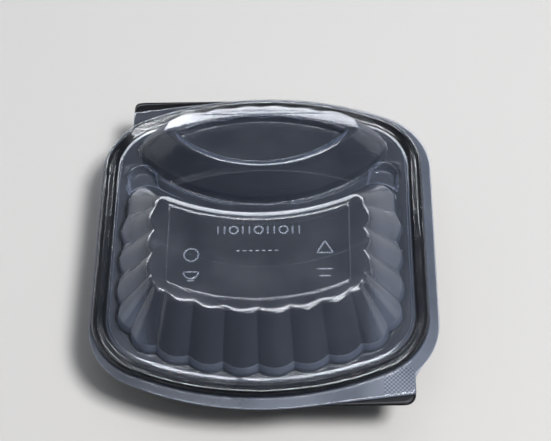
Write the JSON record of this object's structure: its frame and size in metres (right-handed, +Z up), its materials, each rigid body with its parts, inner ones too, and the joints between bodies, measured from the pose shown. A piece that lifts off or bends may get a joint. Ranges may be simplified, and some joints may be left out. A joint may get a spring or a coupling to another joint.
{
  "type": "takeaway meal container",
  "caption": "Takeaway meal container: a black tray divided into a large and a small compartment, closed by a clear lid with fluted domes and a rim that presses over the tray's.",
  "frame": {"origin": "on the surface the tray stands on, under the middle of the lid's flange", "axes": "+Z up, +Y to the back where the small compartment is, +X to the right"},
  "size_m": [0.216, 0.2314, 0.0788],
  "materials": {
    "tray": "black polypropylene, thermoformed, soft gloss",
    "lid": "clear polypropylene, thermoformed, slightly milky, glossy"
  },
  "bodies": {
    "root": {"tray": "tray", "lid": "lid"}
  },
  "joints": []
}
